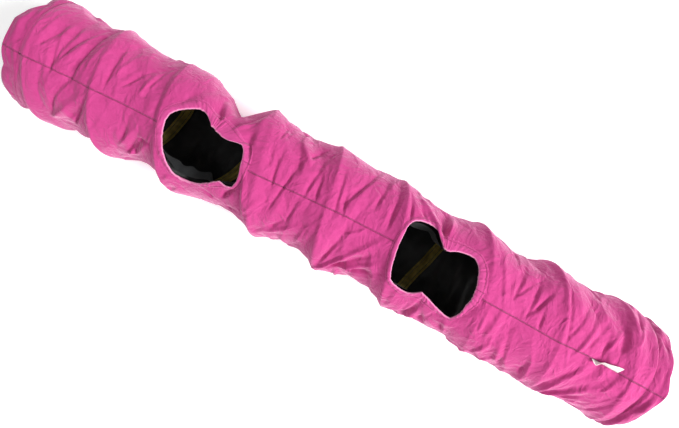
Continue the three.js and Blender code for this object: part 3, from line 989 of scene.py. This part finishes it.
def binding(number):
    """A turned hem, sewn over the cut edges of cover and lining round a window."""
    angle = np.arange(HEM_ROUND) * TAU / HEM_ROUND
    pucker = 0.0008 * facets(0, angle / TAU, 70 + number, 1.0, 50) - 0.0003
    rings = []
    for out, up in HEM_SECTION:
        p, n = round_window(number, WINDOW_CUT_R + out / 1000 + pucker * 0.8, angle)
        rings.append(p + n * (up / 1000 + pucker * (up > 0.6))[:, None])
    faces = quads(len(rings), HEM_ROUND).tolist() + last_to_first(len(rings), HEM_ROUND)
    width = np.array([out for out, _ in HEM_SECTION]) / 1000
    uv = np.stack(np.broadcast_arrays(width[:, None], (angle * WINDOW_CUT_R)[None, :]), axis=-1)
    obj = make_mesh(f"window_binding_{number + 1}_hem", rings, faces, uv)
    finish_piece(obj, HEM)
    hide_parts(f"window_binding_{number + 1}")


for number in range(2):
    binding(number)

# ---- The label ----

lo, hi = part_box("label")
LABEL_LENGTH = hi.x - lo.x
LABEL_WIDTH = 0.018
u2, w2 = np.meshgrid(np.linspace(0, 1, 41), np.linspace(0, 1, 9), indexing="ij")
s = lo.x + u2 * LABEL_LENGTH
base, normal = cover_surface.at(s, 0 * s)
# The label stands on the seam and leans over, to -Y at its left end and to +Y along the rest.
lean_over = np.interp(u2, [0, 0.16, 0.36, 0.6, 1], [-0.25, -0.6, 0.28, 0.62, 0.70])
lean_over += 0.08 * np.sin(TAU * u2 * 1.3) * w2
rise = w2 * (1 - 0.15 * w2) * LABEL_WIDTH
label_points = base + normal * 0.0004
label_points[..., 1] += rise * lean_over
label_points[..., 2] += rise * np.sqrt(1 - lean_over**2) * 0.9
label_points[..., 0] += 0.005 * w2 * (u2 - 0.3)
uv = np.stack([s, w2 * LABEL_WIDTH], axis=-1)
label = make_mesh("label_tag", label_points, strip_quads(*u2.shape), uv)
thick = label.modifiers.new("thick", "SOLIDIFY")
thick.thickness = 0.0006
thick.offset = 0
finish_piece(label, LABEL)
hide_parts("label")

# ---- Stitching ----

# Each kind of stitch: its pitch, length, radius and how far its middle stands up, in metres.
SEAM_STITCH = (0.0030, 0.0026, 0.00045, 0.0003)
HEM_STITCH = (0.0034, 0.0026, 0.00035, 0.0003)
CUFF_STITCH = (0.0034, 0.0026, 0.00035, 0.0004)
TAPE_STITCH = (0.0040, 0.0032, 0.0007, 0.0003)
STITCH_SECTIONS = ((0.0, 0.35), (0.25, 1.0), (0.75, 1.0), (1.0, 0.35))  # (share of its length, of its radius)


def stitches(name, points, normals, stitch, material=PINK_THREAD_AND_SEAM_SHADE, end=None):
    """Short threads end to end along a line of surface points."""
    pitch, length, radius, lift = stitch
    run = np.concatenate([[0], np.cumsum(gap(points[:-1], points[1:]))])
    starts = np.arange(0.001, run[-1] - length, pitch)
    share, thickness = np.array(STITCH_SECTIONS).T
    at = starts[:, None] + share * length
    p, n = (np.stack([np.interp(at, run, values) for values in line.T], axis=-1)
            for line in (points, normals))
    p = p + n * (lift * np.sin(np.pi * share) - 0.0001)[:, None]
    across = unit(np.cross(unit(p[:, -1:] - p[:, :1]), n))
    corners = np.stack([across, n, -across, -n], axis=2) * (radius * thickness)[:, None, None]
    one = quads(4, 4)[:, ::-1].tolist() + [[3, 2, 1, 0], [12, 13, 14, 15]]
    faces = [[16 * k + corner for corner in face] for k in range(len(starts)) for face in one]
    finish_piece(make_mesh(name, p[:, :, None] + corners, faces), material, end)


s_line = np.linspace(-SEAM_X + 0.002, SEAM_X - 0.002, 2600)
to_window = np.min([polar(number, s_line, seam_share(s_line))[0] for number in range(2)], axis=0)
clear = to_window > WINDOW_CUT_R + 0.013  # the hems hide the seam nearer than that
parts = np.split(np.arange(len(s_line)), np.nonzero(np.diff(clear.astype(int)))[0] + 1)
for number, part in enumerate([p for p in parts if clear[p[0]]], start=1):
    p, n = cover_surface.at(s_line[part], 0 * s_line[part])
    stitches(f"top_seam_thread_{number}", p, n, SEAM_STITCH)

for number in range(2):
    p, n = round_window(number, WINDOW_CUT_R + 0.0094, np.linspace(0, TAU, 500))
    stitches(f"window_thread_{number + 1}", p + n * 0.0007, n, HEM_STITCH)

for side, name in ENDS:
    p, n = cover_surface.at(np.full(700, side * (SEAM_X - SEAM_LAP)), np.linspace(0, 1, 700))
    stitches(f"{name}_cuff_thread", p, n, CUFF_STITCH, end=f"{name}_end")

for number, share in enumerate((-0.52, 0.52), start=1):
    line = tape_points[:, np.argmin(np.abs(across - share))]
    inward = unit(line * [0, -1, -1] + [0, 0, CENTRE_Z])
    stitches(f"tape_thread_{number}", line, inward, TAPE_STITCH, OLIVE_THREAD)

# ---- Floor, light and camera ----

bpy.ops.mesh.primitive_plane_add(size=14, location=(0, 0, 0))
floor = bpy.context.active_object
floor.name = "floor"
white = Look("floor_white", Base_Color=(0.94, 0.94, 0.94, 1), Roughness=0.9,
             Emission_Color=(1, 1, 1, 1), Emission_Strength=0.34)
floor.data.materials.append(white.material)

scene = bpy.context.scene
scene.view_settings.view_transform = "Standard"
world = scene.world or bpy.data.worlds.new("world")
scene.world = world
world.use_nodes = True
background = world.node_tree.nodes["Background"]
background.inputs["Color"].default_value = (1, 1, 1, 1)
background.inputs["Strength"].default_value = 0.42


def add_light(kind, name, place, target, energy):
    """A light at a place, turned towards a target."""
    data = bpy.data.lights.new(name, kind)
    data.energy = energy
    light = bpy.data.objects.new(name, data)
    light.location = place
    light.rotation_euler = (Vector(target) - Vector(place)).to_track_quat("-Z", "Y").to_euler()
    scene.collection.objects.link(light)
    return data


# Broad, far lights: (name, which way the light is from the tunnel, strength, angle across in radians).
for name, towards, strength, width in (
    ("key", (1.0, 0.06, 0.80), 2.66, 0.30),
    ("near_fill", (0.15, -1.0, 0.55), 0.4, 0.8),
    ("far_fill", (0.2, 1.0, 0.9), 0.5, 0.8),
):
    add_light("SUN", name, Vector(towards) * 2, (0, 0, 0), strength).angle = width
panel = add_light("AREA", "right_end", (1.9, -0.3, 1.6), (0.55, 0, 0.1), 38)
panel.shape = "SQUARE"
panel.size = 1.0

# The camera looks straight down. These are the picture's right and up, along the floor.
RIGHT = Vector((0.876, 0.482, 0))
UP = Vector((-0.482, 0.876, 0))
CAMERA_X, CAMERA_Z = 0.0073, 1.28
camera_data = bpy.data.cameras.new("camera")
camera_data.lens = 28.52
camera_data.sensor_width = 36
camera_data.clip_start = 0.01
camera = bpy.data.objects.new("camera", camera_data)
camera.matrix_world = Matrix((
    (RIGHT.x, UP.x, 0, CAMERA_X),
    (RIGHT.y, UP.y, 0, 0),
    (0, 0, 1, CAMERA_Z),
    (0, 0, 0, 1),
))
scene.collection.objects.link(camera)
scene.camera = camera
